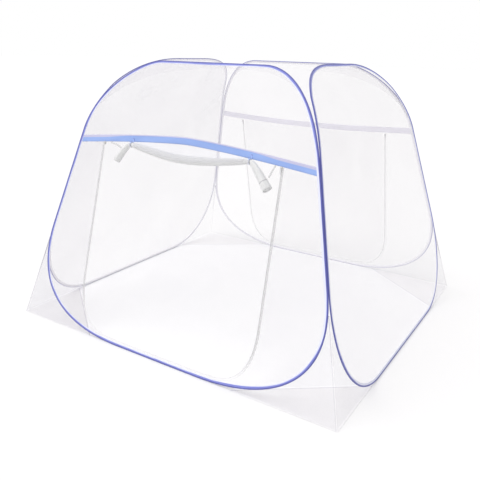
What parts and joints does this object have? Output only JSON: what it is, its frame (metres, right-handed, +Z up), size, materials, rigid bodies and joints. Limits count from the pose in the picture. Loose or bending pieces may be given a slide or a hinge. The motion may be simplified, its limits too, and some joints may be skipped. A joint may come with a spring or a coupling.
{
  "type": "mosquito net tent",
  "caption": "Free-standing pop-up mosquito net tent: sprung wire hoops carry net walls, a net roof and a floor sheet, with a rolled-up front door and a rear door.",
  "frame": {"origin": "middle of the floor sheet's underside, on the ground", "axes": "+Z up, -Y out through the front door, +X to the right as seen from the front"},
  "size_m": [2.0046, 1.9046, 1.4511],
  "materials": {
    "spring_steel": "drawn spring steel",
    "blue_tape": "woven binding tape",
    "blue_band": "woven ribbon",
    "net": "fine see-through mesh",
    "floor_cloth": "thin translucent sheet",
    "rolled_net": "rolled mesh",
    "zip_coil": "moulded coil",
    "zip_tape": "woven tape",
    "zip_metal": "painted die casting",
    "toggle_plastic": "smooth plastic"
  },
  "bodies": {
    "back_wall": {"back_band": "blue_band", "back_hoop_ferrule": "spring_steel", "back_hoop_tape": "blue_tape", "back_hoop_wire": "spring_steel", "back_left_gusset": "net", "back_left_net": "net", "back_left_tie": "blue_tape", "back_right_gusset": "net", "back_right_net": "net", "back_right_tie": "blue_tape", "back_upper_net": "net", "back_zip_coil": "zip_coil", "back_zip_tape": "zip_tape", "floor_corner_back_left": "floor_cloth", "floor_corner_back_right": "floor_cloth", "floor_corner_front_left": "floor_cloth", "floor_corner_front_right": "floor_cloth", "floor_sheet": "floor_cloth", "roof_net": "net"},
    "left_wall": {"left_back_gusset": "net", "left_front_gusset": "net", "left_hoop_ferrule": "spring_steel", "left_hoop_tape": "blue_tape", "left_hoop_wire": "spring_steel", "left_net": "net"},
    "right_wall": {"right_back_gusset": "net", "right_front_gusset": "net", "right_hoop_ferrule": "spring_steel", "right_hoop_tape": "blue_tape", "right_hoop_wire": "spring_steel", "right_net": "net"},
    "front_wall": {"front_band": "blue_band", "front_door_roll": "rolled_net", "front_hoop_ferrule": "spring_steel", "front_hoop_tape": "blue_tape", "front_hoop_wire": "spring_steel", "front_left_gusset": "net", "front_left_net": "net", "front_left_tie": "blue_tape", "front_left_toggle": "toggle_plastic", "front_right_gusset": "net", "front_right_net": "net", "front_right_tie": "blue_tape", "front_right_toggle": "toggle_plastic", "front_upper_net": "net", "front_zip_coil": "zip_coil", "front_zip_tape": "zip_tape"},
    "back_door": {"back_door_net": "net", "back_door_zip_coil": "zip_coil", "back_door_zip_tape": "zip_tape"},
    "back_left_zip_pull": {"back_left_zip_pull": "zip_metal"},
    "back_left_zip_slider": {"back_left_zip_slider": "zip_metal"},
    "back_right_zip_pull": {"back_right_zip_pull": "zip_metal"},
    "back_right_zip_slider": {"back_right_zip_slider": "zip_metal"},
    "front_left_zip_pull": {"front_left_zip_pull": "zip_metal"},
    "front_left_zip_slider": {"front_left_zip_slider": "zip_metal"},
    "front_right_zip_pull": {"front_right_zip_pull": "zip_metal"},
    "front_right_zip_slider": {"front_right_zip_slider": "zip_metal"}
  },
  "joints": [
    {"name": "fold_left", "type": "hinge", "parent": "back_wall", "child": "left_wall", "pos_m": [-0.85299, 0.81027, 0.541], "axis": [-0.2524, 0.2398, -0.9374], "range_deg": [0, 35], "stiffness_Nm_per_rad": 12, "deforming": ["floor_corner_back_left", "floor_corner_back_right", "floor_corner_front_left", "floor_corner_front_right", "floor_sheet", "roof_net"]},
    {"name": "fold_right", "type": "hinge", "parent": "back_wall", "child": "right_wall", "pos_m": [0.84019, 0.79747, 0.541], "axis": [0.2736, 0.2611, -0.9257], "range_deg": [0, 35]},
    {"name": "fold_front", "type": "hinge", "parent": "left_wall", "child": "front_wall", "pos_m": [-0.84019, -0.79747, 0.541], "axis": [0.2736, 0.2611, 0.9257], "range_deg": [0, 35]},
    {"name": "back_door_swing", "type": "hinge", "parent": "back_wall", "child": "back_door", "pos_m": [0, 0.68673, 1.02921], "axis": [1, 0, 0], "range_deg": [0, 85]},
    {"name": "front_left_zip_slide", "type": "slide", "parent": "front_wall", "child": "front_left_zip_slider", "axis": [-0.0199, -0.2478, -0.9686], "range_m": [0, 0.72]},
    {"name": "front_left_pull_swing", "type": "hinge", "parent": "front_left_zip_slider", "child": "front_left_zip_pull", "pos_m": [-0.53523, -0.6934, 1.01907], "axis": [-0.9998, 0.0049, 0.0193], "range_deg": [0, 160]},
    {"name": "front_right_zip_slide", "type": "slide", "parent": "front_wall", "child": "front_right_zip_slider", "axis": [0.0199, -0.2478, -0.9686], "range_m": [0, 0.72]},
    {"name": "front_right_pull_swing", "type": "hinge", "parent": "front_right_zip_slider", "child": "front_right_zip_pull", "pos_m": [0.53523, -0.6934, 1.01907], "axis": [-0.9998, -0.0049, -0.0193], "range_deg": [0, 160]},
    {"name": "back_left_zip_slide", "type": "slide", "parent": "back_wall", "child": "back_left_zip_slider", "axis": [-0.02, 0.2478, -0.9686], "range_m": [0, 0.72]},
    {"name": "back_left_pull_swing", "type": "hinge", "parent": "back_left_zip_slider", "child": "back_left_zip_pull", "pos_m": [-0.53523, 0.69399, 1.01677], "axis": [0.9998, 0.005, -0.0194], "range_deg": [0, 160]},
    {"name": "back_right_zip_slide", "type": "slide", "parent": "back_wall", "child": "back_right_zip_slider", "axis": [0.02, 0.2478, -0.9686], "range_m": [0, 0.72]},
    {"name": "back_right_pull_swing", "type": "hinge", "parent": "back_right_zip_slider", "child": "back_right_zip_pull", "pos_m": [0.53523, 0.69399, 1.01677], "axis": [0.9998, -0.005, 0.0194], "range_deg": [0, 160]}
  ],
  "couplings": [
    {"joint": "fold_right", "follows": "fold_left", "ratio": 1},
    {"joint": "fold_front", "follows": "fold_left", "ratio": 1}
  ]
}
